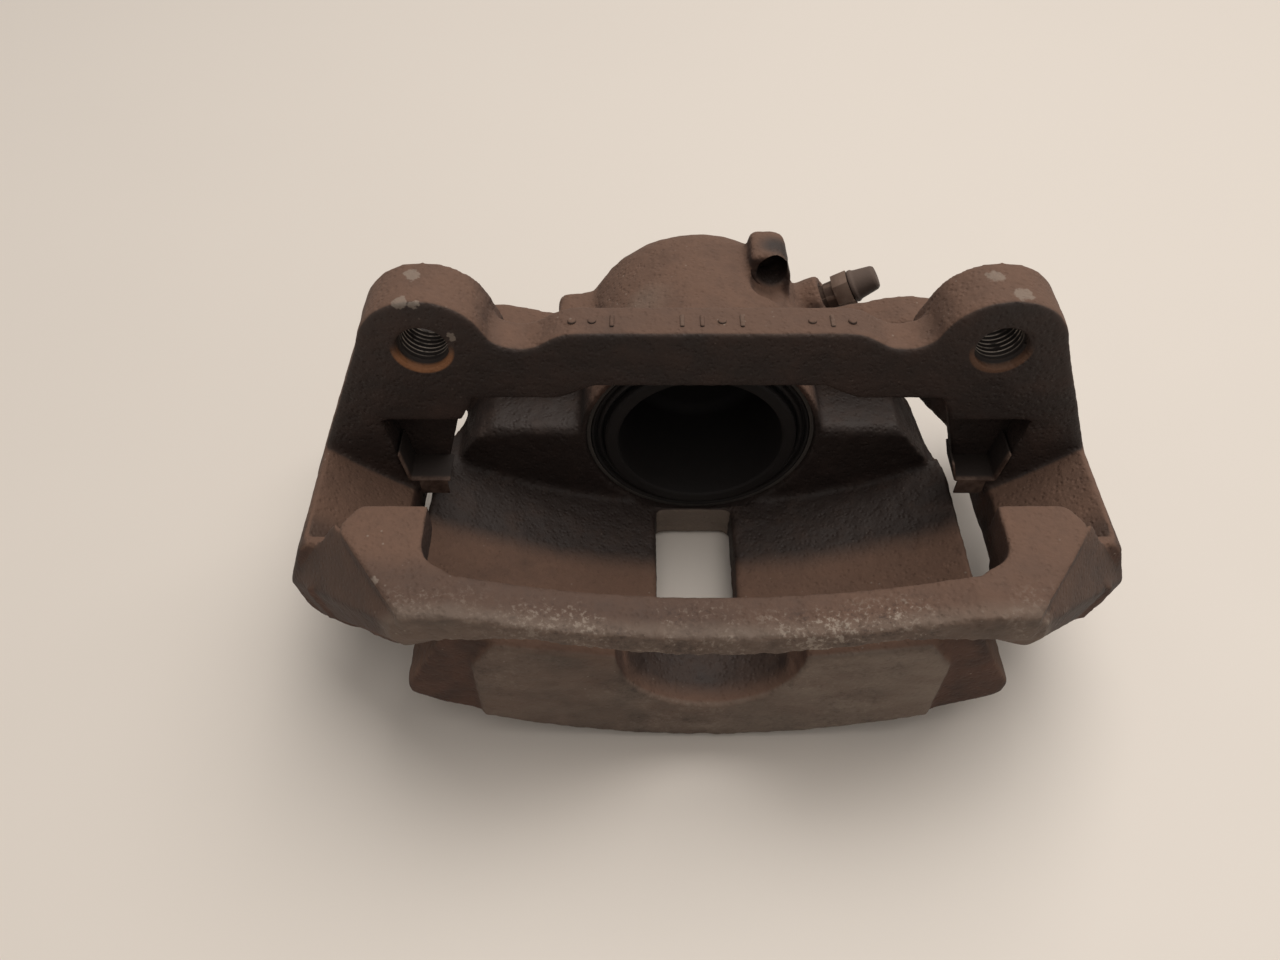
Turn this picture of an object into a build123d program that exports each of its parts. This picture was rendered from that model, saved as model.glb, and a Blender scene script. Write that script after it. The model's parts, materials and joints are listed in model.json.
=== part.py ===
"""Single-piston floating brake caliper, complete with its anchor bracket, no pads fitted.

The origin is midway between the two mounting holes, on the bracket's inboard face.
+X runs along the line of the holes, +Y points inboard and +Z towards the wheel's centre.
"""

from build123d import *
from math import cos, hypot, radians, sin, sqrt
import os

os.makedirs("parts", exist_ok=True)

# Brake disc that the caliper straddles (not built)
disc_axis_z = 65.0
disc_clear_radius = 145.5

# Bracket: mounting ears and beam
bolt_spacing = 145.0
ear_top_z = 15.0
ear_round = 16.5
ear_thickness = 16.0
mount_thread_radius = 6.0
mount_chamfer = 0.9
beam_top_z = 5.0
beam_bottom_z = -13.0
beam_back_y = -5.0
beam_relief_half_width = 30.0
foot_drop = 4.5
plate_inner_x = 63.0

# Bracket: arms over the disc and guide bores
pin_spacing = 194.0
pin_z = -63.0
arm_end_y = -50.0
arm_bottom_z = -77.0
arm_outer_x = pin_spacing / 2 + 15.0
spigot_end_y = 6.0
guide_bore_radius = 5.5
spigot_radius = guide_bore_radius + 3.5
guide_bore_bottom_y = -46.0
running_clearance = 0.05

# Beyond everything, for cutting planes
far = 150.0

# Bracket: pad pockets, posts and tie bar
pocket_inner_x = 60.0
pocket_outer_x = 88.0
pocket_top_z = -26.0
pocket_bottom_z = -50.0
pocket_depth = 9.0
post_inner_x = 70.5
post_top_z = -23.0
post_back_y = -47.0
post_front_y = -68.0
tie_front_y = -80.0
tie_mid_top_z = -32.0
tie_mid_bottom_z = -40.0
tie_end_bottom_z = -33.0

# Housing: bridge, fingers and shoulder
bridge_inner_radius = 146.0
bridge_outer_radius = 160.0
bridge_half_width = bolt_spacing / 2 + 7.5
bridge_right_trim = 4.5
bridge_land_half_width = 13.0
window_centre_x = -1.0
window_width = 24.0
window_back_y = -2.5
window_front_y = -48.0
finger_inner_y = -56.0
finger_outer_y = -72.5
finger_face_y = -75.0
finger_top_z = -43.0
finger_dip = 7.5
finger_face_half_width = bridge_half_width - 19.0
finger_notch_radius = 24.0
shoulder_top_z = -46.5
shoulder_back_y = 24.0

# Housing: cylinder and its ports
piston_z = -51.0
piston_radius = 28.5
cylinder_radius = piston_radius + 7.5
bore_bottom_y = 50.0
cylinder_end_y = bore_bottom_y + 11.0
boot_recess_radius = piston_radius + 5.5
boot_recess_depth = 7.0
seal_groove_radius = piston_radius + 3.0
seal_groove_y = 14.0
seal_width = 4.0
dome_radius = 13.0

# Housing: pin arms
pin_arm_front_y = 20.0
pin_arm_thickness = 13.0
pin_ear_radius = 12.0
bolt_shank_radius = 3.95
pin_bolt_hole_radius = bolt_shank_radius + 0.3

# Hose port and bleeder
port_x = 21.5
port_z = -18.3
port_mouth_y = 37.5
port_depth = 11.5
port_wall = 2.0
port_spot_depth = 7.0
port_thread_radius = 4.5
port_spot_radius = 6.5
bleeder_y = 50.0
bleeder_tilt = 30.0
bleeder_drop = 11.0
bleeder_boss_radius = 8.0
bleeder_boss_end = 48.0
bleeder_thread_radius = 4.0
bleeder_seat = 39.5
passage_radius = 1.5

# Piston
piston_front_y = -1.0
piston_length = 46.0
piston_cup_radius = piston_radius - 4.0
piston_cup_depth = 38.0
boot_groove_y = 2.0
boot_groove_width = 3.0
boot_groove_radius = piston_radius - 2.0
soft_gap = 0.3

# Guide pins, bolts and boots
pin_tip_y = -38.5
pin_flange_thickness = 5.0
pin_hexagon = 17.0
bushing_length = 13.0
bushing_wall = 1.3
bolt_hexagon = 13.0
bolt_flange_radius = 8.5
bolt_reach = 24.0

# Bleeder screw and cap
bleeder_hexagon = 10.0
bleeder_hex_length = 5.0
nipple_radius = 2.5
nipple_length = 6.5
hex_stand_off = 4.0
shoulder_radius = 4.4
cap_collar_radius = 5.3
cap_tip_radius = 3.7
cap_clearance = 0.1

# Pad clips
clip_sheet = 0.6
clip_inner_x = 72.6
clip_overhang = 1.0
clip_lip_x = 77.5
clip_lip_width = 8.0
clip_lip_drop = 6.0


def facing_outboard(y):
    """Plane at depth y whose normal points outboard (-Y); its local axes are X and Z."""
    return Plane.XZ.offset(-y)


def outline(corners):
    """Closed face in the current sketch from (x, z, corner radius) triples."""
    with BuildLine() as border:
        FilletPolyline(
            *[(x, z) for x, z, _ in corners],
            radius=[radius for _, _, radius in corners],
            close=True,
        )
    make_face(border.edges())


def along_y(x, z, radius, y_from, y_to, mode=Mode.ADD):
    """Cylinder whose axis runs along Y through (x, z), from y_from inboard to y_to outboard."""
    with BuildSketch(facing_outboard(y_from)) as section:
        with Locations((x, z)):
            Circle(radius)
    extrude(section.sketch, amount=y_from - y_to, mode=mode)


def revolved_about_y(x, z, profile):
    """Solid of revolution about the line through (x, z) along Y, from (radius, y) points."""
    with BuildSketch(Plane((x, 0, z), x_dir=(1, 0, 0), z_dir=(0, 0, 1))) as section:
        with BuildLine() as border:
            Polyline(*profile, close=True)
        make_face(border.edges())
    revolve(section.sketch, axis=Axis((x, 0, z), (0, 1, 0)))


def disc_arc_z(radius, x):
    """Height of the lower half of a circle of this radius about the disc's axis."""
    return disc_axis_z - sqrt(radius**2 - x**2)


def export_portion(casting, name, x_span, y_span):
    """Writes the part of a casting between two planes across X and two across Y."""
    with BuildPart() as portion:
        add(casting)
        with Locations((sum(x_span) / 2, sum(y_span) / 2, 0)):
            Box(x_span[1] - x_span[0], y_span[1] - y_span[0], 4 * far, mode=Mode.INTERSECT)
    portion.part.label = name
    export_step(portion.part, f"parts/{name}.step")


pin_x = pin_spacing / 2
hole_x = bolt_spacing / 2
arm_inner_x = pin_x - 13.5
tie_bow_x = hole_x - 28.5

# ---------------------------------------------------------------- bracket
with BuildPart() as bracket:
    # Inboard plate: ear, outer edge and the foot that carries the guide bore.
    with BuildSketch(facing_outboard(0)):
        outline(
            [
                (hole_x - 19, beam_bottom_z - foot_drop, 0),
                (hole_x - 19, -3, 0),
                (hole_x - 12, ear_top_z, ear_round),
                (hole_x + 12, ear_top_z, ear_round),
                (hole_x + 17, 0, 25),
                (arm_outer_x - 0.5, -50, 6),
                (arm_outer_x - 2, -66, 9),
                (pin_x + 4, arm_bottom_z, 8),
                (pin_x - 9, arm_bottom_z, 6),
                (arm_inner_x, -68, 5),
                (arm_inner_x - 1, -55, 3),
                (pocket_inner_x + 14.5, -52.5, 3),
                (plate_inner_x + 5, -30, 12),
                (plate_inner_x - 1, beam_bottom_z - foot_drop, 0),
            ]
        )
    extrude(amount=ear_thickness)

    # Beam between the ears, thinner than the ears and set flush with their outboard faces.
    with BuildSketch(facing_outboard(beam_back_y)):
        outline(
            [
                (0, beam_top_z, 0),
                (hole_x - 35.5, beam_top_z, 14),
                (hole_x - 26.5, -0.5, 9),
                (hole_x - 18.5, 0.5, 9),
                (hole_x - 10, 12, 0),
                (hole_x - 8, beam_bottom_z - foot_drop, 0),
                (beam_relief_half_width + 9, beam_bottom_z - foot_drop, 5),
                (beam_relief_half_width, beam_bottom_z, 5),
                (0, beam_bottom_z, 0),
            ]
        )
    extrude(amount=ear_thickness + beam_back_y)

    # Arm over the disc, hollowed to the disc's edge.
    with BuildSketch(facing_outboard(-ear_thickness)):
        outline(
            [
                (arm_inner_x, -37, 0),
                (pin_x + 8, -35, 6),
                (arm_outer_x, -53, 7),
                (arm_outer_x - 2, -66, 9),
                (pin_x + 4, arm_bottom_z, 8),
                (pin_x - 9, arm_bottom_z, 6),
                (arm_inner_x, -66, 6),
            ]
        )
    extrude(amount=-ear_thickness - arm_end_y)
    along_y(0, disc_axis_z, disc_clear_radius, -ear_thickness, post_back_y, Mode.SUBTRACT)

    # Outboard post, standing on the arm's end.
    with BuildSketch(facing_outboard(post_back_y)):
        outline(
            [
                (post_inner_x, post_top_z, 0),
                (hole_x + 15, post_top_z, 5),
                (pin_x - 2, -38, 6),
                (pin_x + 8, -46, 0),
                (pin_x + 5, -60, 0),
                (arm_inner_x, -60, 0),
                (arm_inner_x - 0.5, -54.5, 2),
                (post_inner_x + 5, -51, 3),
                (post_inner_x + 2.5, -40, 0),
            ]
        )
    extrude(amount=post_back_y + 57)

    # Sloping web from the arm's end to the tie bar.
    with BuildSketch(facing_outboard(arm_end_y)):
        with BuildLine():
            Polyline(
                (arm_inner_x + 2, -44),
                (pin_x - 3, -26),
                (arm_outer_x - 0.5, -52),
                (arm_outer_x - 5, -69),
                (pin_x - 3, arm_bottom_z + 0.5),
                (arm_inner_x + 3, -62),
                close=True,
            )
        make_face()
    with BuildSketch(facing_outboard(tie_front_y + 1)):
        with BuildLine():
            Polyline(
                (hole_x - 8, -27),
                (hole_x - 2, -24),
                (hole_x + 3, -27),
                (hole_x + 4, tie_end_bottom_z),
                (hole_x + 1, tie_end_bottom_z - 4),
                (hole_x - 8, tie_end_bottom_z - 1),
                close=True,
            )
        make_face()
    loft(ruled=True)

    # Flat top of the post, reaching forward to the tie bar.
    with BuildSketch(Plane.XY.offset(post_top_z)):
        outline(
            [
                (post_inner_x, post_back_y, 0),
                (hole_x + 15, post_back_y, 4),
                (pin_x - 5, -54, 4),
                (hole_x + 1, tie_front_y + 1, 4),
                (hole_x - 12, tie_front_y + 1, 0),
                (hole_x - 12, post_front_y, 7),
                (post_inner_x, post_front_y + 5, 8),
            ]
        )
    extrude(amount=-9.5)

    # Bowed tie bar.
    with BuildSketch(facing_outboard(post_front_y)):
        with BuildLine():
            ThreePointArc(
                (-hole_x + 12.5, post_top_z), (0, tie_mid_top_z), (hole_x - 12.5, post_top_z)
            )
            Polyline(
                (hole_x - 12.5, post_top_z),
                (hole_x + 1, post_top_z - 1),
                (hole_x + 1, tie_end_bottom_z),
                (tie_bow_x, tie_end_bottom_z),
            )
            ThreePointArc(
                (tie_bow_x, tie_end_bottom_z),
                (0, tie_mid_bottom_z),
                (-tie_bow_x, tie_end_bottom_z),
            )
            Line((-tie_bow_x, tie_end_bottom_z), (-hole_x + 12.5, tie_end_bottom_z))
            Line((-hole_x + 12.5, tie_end_bottom_z), (-hole_x + 12.5, post_top_z))
        make_face()
    extrude(amount=post_front_y - tie_front_y)

    # Spigot for the dust boot at the mouth of the guide bore.
    along_y(pin_x, pin_z, spigot_radius, spigot_end_y, 0)
    along_y(pin_x, pin_z, spigot_radius + 3.5, 2, 0)

    # Guide bore, mounting thread and inboard pad pocket.
    along_y(pin_x, pin_z, guide_bore_radius, spigot_end_y, guide_bore_bottom_y, Mode.SUBTRACT)
    along_y(hole_x, 0, mount_thread_radius, 0, -ear_thickness, Mode.SUBTRACT)
    with BuildSketch(facing_outboard(-ear_thickness + pocket_depth)):
        outline(
            [
                (pocket_inner_x, pocket_top_z, 0),
                (pocket_outer_x, pocket_top_z, 1.5),
                (pocket_outer_x - 3, pocket_bottom_z, 1.5),
                (pocket_inner_x, pocket_bottom_z, 0),
            ]
        )
    extrude(amount=pocket_depth, mode=Mode.SUBTRACT)
    mouths = (
        bracket.edges()
        .filter_by(GeomType.CIRCLE)
        .filter_by(lambda e: e.is_closed and abs(e.radius - mount_thread_radius) < 0.01)
        .filter_by(lambda e: abs(e.center().Y + ear_thickness) < 0.01)
    )
    chamfer(mouths, mount_chamfer)
    mirror(about=Plane.YZ)

# The one casting is written as beam, ears, arms, posts and tie bar, which touch face to face.
beam_end_x = hole_x - 18
tie_end_x = hole_x - 14.5
plate_y = (-ear_thickness, far)
arm_y = (post_back_y, -ear_thickness)
front_y = (-far, post_back_y)
export_portion(bracket.part, "bracket_beam", (-beam_end_x, beam_end_x), plate_y)
export_portion(bracket.part, "bracket_ear_left", (-far, -beam_end_x), plate_y)
export_portion(bracket.part, "bracket_ear_right", (beam_end_x, far), plate_y)
export_portion(bracket.part, "bracket_arm_left", (-far, 0), arm_y)
export_portion(bracket.part, "bracket_arm_right", (0, far), arm_y)
export_portion(bracket.part, "bracket_post_left", (-far, -tie_end_x), front_y)
export_portion(bracket.part, "bracket_post_right", (tie_end_x, far), front_y)
export_portion(bracket.part, "bracket_tie_bar", (-tie_end_x, tie_end_x), front_y)

# ---------------------------------------------------------------- housing
cylinder_front_y = 0.0
bleeder_direction = (cos(radians(bleeder_tilt)), 0, sin(radians(bleeder_tilt)))
bleeder_root = (0, bleeder_y, piston_z - bleeder_drop)
bleeder_plane = Plane(bleeder_root, x_dir=(0, 1, 0), z_dir=bleeder_direction)

with BuildPart() as housing:
    # Bridge: an arc plate concentric with the disc, right half.
    with BuildSketch(facing_outboard(shoulder_back_y)):
        with BuildLine():
            inner_z = disc_arc_z(bridge_inner_radius, bridge_half_width)
            outer_z = disc_arc_z(bridge_outer_radius, bridge_half_width)
            RadiusArc(
                (0, disc_axis_z - bridge_inner_radius),
                (bridge_half_width, inner_z),
                -bridge_inner_radius,
            )
            Line((bridge_half_width, inner_z), (bridge_half_width, outer_z))
            RadiusArc(
                (bridge_half_width, outer_z),
                (0, disc_axis_z - bridge_outer_radius),
                bridge_outer_radius,
            )
            Line((0, disc_axis_z - bridge_outer_radius), (0, disc_axis_z - bridge_inner_radius))
        make_face()
    extrude(amount=shoulder_back_y - finger_inner_y)

    # Finger plate with its raised outer face.
    with BuildSketch(facing_outboard(finger_inner_y)):
        with BuildLine():
            corner_x = bridge_half_width - 8
            corner_z = disc_arc_z(bridge_outer_radius, corner_x)
            Polyline(
                (0, disc_axis_z - bridge_outer_radius),
                (0, finger_top_z - finger_dip),
                (finger_notch_radius, finger_top_z - finger_dip),
                (bridge_half_width - 22, finger_top_z - 1),
                (bridge_half_width - 13, finger_top_z),
                (bridge_half_width - 11, -48),
                (bridge_half_width, -68),
                (bridge_half_width, -73),
                (corner_x, corner_z),
            )
            RadiusArc(
                (corner_x, corner_z), (0, disc_axis_z - bridge_outer_radius), bridge_outer_radius
            )
        make_face()
    extrude(amount=finger_inner_y - finger_outer_y)
    with BuildSketch(facing_outboard(finger_outer_y)):
        with BuildLine():
            face_radius = bridge_outer_radius - 2
            face_end_z = disc_arc_z(face_radius, finger_face_half_width)
            Polyline(
                (0, disc_axis_z - face_radius),
                (0, finger_top_z - finger_dip),
                (finger_notch_radius, finger_top_z - finger_dip),
                (finger_face_half_width - 7, finger_top_z - 2),
                (finger_face_half_width, -55),
                (finger_face_half_width, face_end_z),
            )
            RadiusArc(
                (finger_face_half_width, face_end_z), (0, disc_axis_z - face_radius), face_radius
            )
        make_face()
    extrude(amount=finger_outer_y - finger_face_y)

    mirror(about=Plane.YZ)

    # Shoulder: the wall round the cylinder's front, standing on the bridge.
    with BuildSketch(facing_outboard(shoulder_back_y)):
        with BuildLine():
            foot_z = disc_arc_z(bridge_inner_radius + 6, 60)
            Polyline(
                (-62, shoulder_top_z),
                (59, shoulder_top_z),
                (65, -54),
                (bridge_half_width - bridge_right_trim - 1, -66),
                (60, foot_z),
                (0, disc_axis_z - bridge_inner_radius - 6),
                (-60, foot_z),
                (1 - bridge_half_width, -70),
                (-68, -51),
                close=True,
            )
        make_face()
    extrude(amount=shoulder_back_y - cylinder_front_y)
    front_top = (
        housing.edges()
        .filter_by(Axis.X)
        .filter_by(lambda e: abs(e.center().Y) < 0.01 and abs(e.center().Z - shoulder_top_z) < 0.01)
    )
    fillet(front_top, 3)

    # The sides draw in towards the back of the shoulder.
    with BuildSketch(Plane.XY.offset(-110)):
        with BuildLine():
            trimmed_x = bridge_half_width - bridge_right_trim
            Polyline(
                (trimmed_x, finger_inner_y + 6),
                (trimmed_x, -4),
                (67, shoulder_back_y + 2),
                (90, shoulder_back_y + 2),
                (90, finger_inner_y + 6),
                close=True,
            )
        make_face()
        with BuildLine():
            Polyline(
                (-bridge_half_width, 0),
                (-71, shoulder_back_y + 2),
                (-90, shoulder_back_y + 2),
                (-90, 0),
                close=True,
            )
        make_face()
    extrude(amount=90, mode=Mode.SUBTRACT)

    # Arms and ears for the guide pins; the left arm's top edge lies a little lower.
    for sign, drop in ((-1, 3), (1, 0)):
        with BuildSketch(facing_outboard(pin_arm_front_y + pin_arm_thickness)):
            outline(
                [
                    (sign * 20, -30 - drop, 0),
                    (sign * 44, -26 - drop, 10),
                    (sign * 60, -22 - drop, 20),
                    (sign * 76, -24 - drop, 14),
                    (sign * (pin_x + pin_ear_radius), -50, 18),
                    (sign * (pin_x + pin_ear_radius), pin_z - 6, 9),
                    (sign * pin_x, pin_z - pin_ear_radius, 9),
                    (sign * (pin_x - pin_ear_radius), pin_z - 8, 6),
                    (sign * 66, -50, 8),
                    (sign * 30, -62, 0),
                ]
            )
        extrude(amount=pin_arm_thickness)

    # Cylinder with its domed end.
    along_y(0, piston_z, cylinder_radius, cylinder_end_y, cylinder_front_y)
    dome_edge = housing.edges().filter_by(GeomType.CIRCLE).sort_by(Axis.Y)[-1]
    fillet(dome_edge, dome_radius)

    # Casting nub, hose lug and bleeder boss.
    with BuildSketch(facing_outboard(50)):
        outline([(-44, -36, 3), (-28, -34, 0), (-28, -48, 0), (-44, -45, 3)])
    extrude(amount=12)
    with BuildSketch(facing_outboard(port_mouth_y + port_depth + port_wall)):
        lug_top_z = port_z + port_thread_radius + 1.8
        outline(
            [
                (port_x - 6.2, lug_top_z, 2),
                (port_x + 3.5, lug_top_z, 5),
                (port_x + 6.2, port_z - 3, 0),
                (port_x + 6.2, port_z - 15, 0),
                (port_x - 8.5, port_z - 7, 0),
            ]
        )
    extrude(amount=port_depth + port_wall)
    with BuildSketch(bleeder_plane):
        Circle(bleeder_boss_radius)
    extrude(amount=bleeder_boss_end)

    # Flat land under the bridge that the caliper lies on.
    with BuildSketch(Plane.XY.offset(disc_axis_z - bridge_outer_radius - 5)):
        Rectangle(bridge_land_half_width * 2, 400)
    land_z = disc_arc_z(bridge_outer_radius, bridge_land_half_width)
    extrude(amount=land_z - disc_axis_z + bridge_outer_radius + 5, mode=Mode.SUBTRACT)

    # Finger notch, bridge window and piston bore.
    with BuildSketch(facing_outboard(finger_inner_y + 1)):
        with Locations((0, piston_z)):
            Circle(finger_notch_radius)
        with Locations((0, piston_z + finger_notch_radius)):
            Rectangle(finger_notch_radius * 2, finger_notch_radius * 2)
    extrude(amount=finger_inner_y - finger_face_y + 2, mode=Mode.SUBTRACT)
    with BuildSketch(Plane.XY.offset(-100)):
        with Locations((window_centre_x, (window_back_y + window_front_y) / 2)):
            RectangleRounded(window_width, window_back_y - window_front_y, 2)
    extrude(amount=25, mode=Mode.SUBTRACT)
    bore_radius = piston_radius + running_clearance
    along_y(0, piston_z, bore_radius, bore_bottom_y, cylinder_front_y, Mode.SUBTRACT)
    along_y(0, piston_z, boot_recess_radius, boot_recess_depth, cylinder_front_y, Mode.SUBTRACT)
    along_y(0, piston_z, seal_groove_radius, seal_groove_y + seal_width, seal_groove_y, Mode.SUBTRACT)

    # Hose port with its spot face and the passage to the bore.
    spot_front_y = port_mouth_y - port_spot_depth
    along_y(port_x, port_z, port_spot_radius, port_mouth_y, spot_front_y, Mode.SUBTRACT)
    port_bottom_y = port_mouth_y + port_depth
    along_y(port_x, port_z, port_thread_radius, port_bottom_y, port_mouth_y, Mode.SUBTRACT)
    passage_drop = piston_z - port_z
    passage_side = -port_x
    passage_plane = Plane(
        (port_x, bore_bottom_y - 2, port_z), x_dir=(0, 1, 0), z_dir=(passage_side, 0, passage_drop)
    )
    with BuildSketch(passage_plane):
        Circle(passage_radius)
    extrude(amount=hypot(passage_side, passage_drop) - piston_radius + 3, mode=Mode.SUBTRACT)

    # Bleeder thread, seat and passage.
    with BuildSketch(bleeder_plane.offset(bleeder_boss_end)):
        Circle(bleeder_thread_radius)
    extrude(amount=bleeder_seat - bleeder_boss_end, mode=Mode.SUBTRACT)
    with BuildSketch(bleeder_plane.offset(bleeder_seat)):
        Circle(passage_radius)
    extrude(amount=piston_radius - bleeder_seat, mode=Mode.SUBTRACT)

    # Clearance holes for the guide bolts.
    for side in (-1, 1):
        along_y(
            side * pin_x,
            pin_z,
            pin_bolt_hole_radius,
            pin_arm_front_y + pin_arm_thickness,
            pin_arm_front_y,
            Mode.SUBTRACT,
        )

# The one casting is written as cylinder, wings, bridge and fingers, which touch face to face.
wing_x = bleeder_boss_end - 1
back_y = (cylinder_front_y, far)
bridge_y = (finger_inner_y, cylinder_front_y)
finger_y = (-far, finger_inner_y)
export_portion(housing.part, "cylinder_block", (-wing_x, wing_x), back_y)
export_portion(housing.part, "housing_wing_left", (-far, -wing_x), back_y)
export_portion(housing.part, "housing_wing_right", (wing_x, far), back_y)
window_x = (window_centre_x - window_width / 2, window_centre_x + window_width / 2)
window_middle_y = (window_back_y + window_front_y) / 2
export_portion(housing.part, "bridge_left", (-far, window_x[0]), bridge_y)
export_portion(housing.part, "bridge_right", (window_x[1], far), bridge_y)
export_portion(housing.part, "bridge_front", window_x, (finger_inner_y, window_middle_y))
export_portion(housing.part, "bridge_rear", window_x, (window_middle_y, cylinder_front_y))
export_portion(housing.part, "finger_left", (-far, 0), finger_y)
export_portion(housing.part, "finger_right", (0, far), finger_y)

# ---------------------------------------------------------------- piston group
with BuildPart() as piston:
    piston_back_y = piston_front_y + piston_length
    along_y(0, piston_z, piston_radius, piston_back_y, piston_front_y)
    cup_bottom_y = piston_front_y + piston_cup_depth
    along_y(0, piston_z, piston_cup_radius, cup_bottom_y, piston_front_y, Mode.SUBTRACT)
    fillet(piston.edges().filter_by(GeomType.CIRCLE).group_by(Axis.Y)[-2], 4)
    chamfer(piston.edges().filter_by(GeomType.CIRCLE).group_by(Axis.Y)[-1], 1.5)
    chamfer(piston.edges().filter_by(GeomType.CIRCLE).group_by(Axis.Y)[0], 0.6)
    groove_end_y = boot_groove_y + boot_groove_width
    with BuildSketch(facing_outboard(groove_end_y)):
        with Locations((0, piston_z)):
            Circle(piston_radius + 1)
            Circle(boot_groove_radius, mode=Mode.SUBTRACT)
    extrude(amount=boot_groove_width, mode=Mode.SUBTRACT)
piston.part.label = "piston"
export_step(piston.part, "parts/piston.step")

with BuildPart() as piston_seal:
    along_y(0, piston_z, seal_groove_radius, seal_groove_y + seal_width, seal_groove_y)
    along_y(
        0,
        piston_z,
        piston_radius + running_clearance,
        seal_groove_y + seal_width,
        seal_groove_y,
        Mode.SUBTRACT,
    )
piston_seal.part.label = "piston_seal"
export_step(piston_seal.part, "parts/piston_seal.step")

boot_ring_wall = 1.2
boot_ring_inner = boot_recess_radius - boot_ring_wall
with BuildPart() as boot_ring:
    revolved_about_y(
        0,
        piston_z,
        [
            (boot_ring_inner, 1.5),
            (boot_recess_radius, 1.5),
            (boot_recess_radius, boot_recess_depth),
            (boot_ring_inner - 1.3, boot_recess_depth),
            (boot_ring_inner - 1.3, boot_recess_depth - 1),
            (boot_ring_inner, boot_recess_depth - 1),
        ],
    )
boot_ring.part.label = "boot_ring"
export_step(boot_ring.part, "parts/boot_ring.step")

# Dust boot: a lip in the piston's groove, one fold, and a bead inside the ring.
with BuildPart() as piston_boot:
    lip_radius = boot_groove_radius + soft_gap
    lip_back_y = groove_end_y - soft_gap
    lip_front_y = boot_groove_y + soft_gap
    revolved_about_y(
        0,
        piston_z,
        [
            (lip_radius, lip_front_y),
            (piston_radius + 0.6, lip_front_y),
            (piston_radius + 1.4, 1.0),
            (boot_ring_inner - 0.9, 1.0),
            (boot_ring_inner, 1.8),
            (boot_ring_inner, boot_recess_depth - 1),
            (boot_ring_inner - 1.2, boot_recess_depth - 1),
            (boot_ring_inner - 1.2, 2.4),
            (piston_radius + 2, 2.4),
            (piston_radius + 1.6, lip_back_y),
            (lip_radius, lip_back_y),
        ],
    )
piston_boot.part.label = "piston_boot"
export_step(piston_boot.part, "parts/piston_boot.step")

# ---------------------------------------------------------------- guide pins
pin_radius = guide_bore_radius - running_clearance
flange_front_y = pin_arm_front_y - pin_flange_thickness
neck_radius = pin_radius - 0.8
bolt_tip_y = pin_arm_front_y + pin_arm_thickness - bolt_reach
bolt_head_y = pin_arm_front_y + pin_arm_thickness

for side, sign in (("left", -1), ("right", 1)):
    with BuildPart() as guide_pin:
        along_y(sign * pin_x, pin_z, pin_radius, flange_front_y, pin_tip_y)
        with BuildSketch(facing_outboard(pin_arm_front_y)):
            with Locations((sign * pin_x, pin_z)):
                RegularPolygon(pin_hexagon / 2, 6, major_radius=False)
        extrude(amount=pin_flange_thickness)
        along_y(
            sign * pin_x, pin_z, bolt_shank_radius, pin_arm_front_y, bolt_tip_y, Mode.SUBTRACT
        )
        if side == "right":
            with BuildSketch(facing_outboard(pin_tip_y + bushing_length)):
                with Locations((sign * pin_x, pin_z)):
                    Circle(pin_radius + 1)
                    Circle(pin_radius - bushing_wall, mode=Mode.SUBTRACT)
            extrude(amount=bushing_length + 1, mode=Mode.SUBTRACT)
        chamfer(guide_pin.edges().filter_by(GeomType.CIRCLE).group_by(Axis.Y)[0], 0.8)
    guide_pin.part.label = f"guide_pin_{side}"
    export_step(guide_pin.part, f"parts/guide_pin_{side}.step")

    # Flange bolt that clamps the housing's ear to the pin.
    with BuildPart() as guide_bolt:
        along_y(sign * pin_x, pin_z, bolt_shank_radius, bolt_head_y, bolt_tip_y)
        along_y(sign * pin_x, pin_z, bolt_flange_radius, bolt_head_y + 1.6, bolt_head_y)
        with BuildSketch(facing_outboard(bolt_head_y + 8)):
            with Locations((sign * pin_x, pin_z)):
                RegularPolygon(bolt_hexagon / 2, 6, major_radius=False)
        extrude(amount=6.4)
    guide_bolt.part.label = f"guide_bolt_{side}"
    export_step(guide_bolt.part, f"parts/guide_bolt_{side}.step")

    # Bellows between the bracket's spigot and the pin's hexagon.
    with BuildPart() as guide_boot:
        inner = pin_radius + soft_gap
        revolved_about_y(
            sign * pin_x,
            pin_z,
            [
                (spigot_radius, 2.0),
                (spigot_radius + 2.0, 2.0),
                (spigot_radius + 2.0, 5.5),
                (spigot_radius - 0.5, 7.5),
                (spigot_radius + 1.0, 9.0),
                (spigot_radius - 1.5, 10.5),
                (spigot_radius - 0.5, 12.0),
                (inner + 1.4, 12.8),
                (inner + 1.4, flange_front_y - soft_gap),
                (inner, flange_front_y - soft_gap),
                (inner, 11.8),
                (spigot_radius - 2.3, 10.5),
                (spigot_radius - 0.6, 9.0),
                (spigot_radius - 1.6, 7.5),
                (spigot_radius - 1.6, spigot_end_y),
                (spigot_radius, spigot_end_y),
            ],
        )
    guide_boot.part.label = f"guide_boot_{side}"
    export_step(guide_boot.part, f"parts/guide_boot_{side}.step")

# Rubber damping sleeve on the right pin's tip.
with BuildPart() as guide_pin_bushing:
    along_y(pin_x, pin_z, pin_radius, pin_tip_y + bushing_length, pin_tip_y + 1)
    along_y(
        pin_x,
        pin_z,
        pin_radius - bushing_wall,
        pin_tip_y + bushing_length,
        pin_tip_y + 1,
        Mode.SUBTRACT,
    )
guide_pin_bushing.part.label = "guide_pin_bushing"
export_step(guide_pin_bushing.part, "parts/guide_pin_bushing.step")

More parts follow.
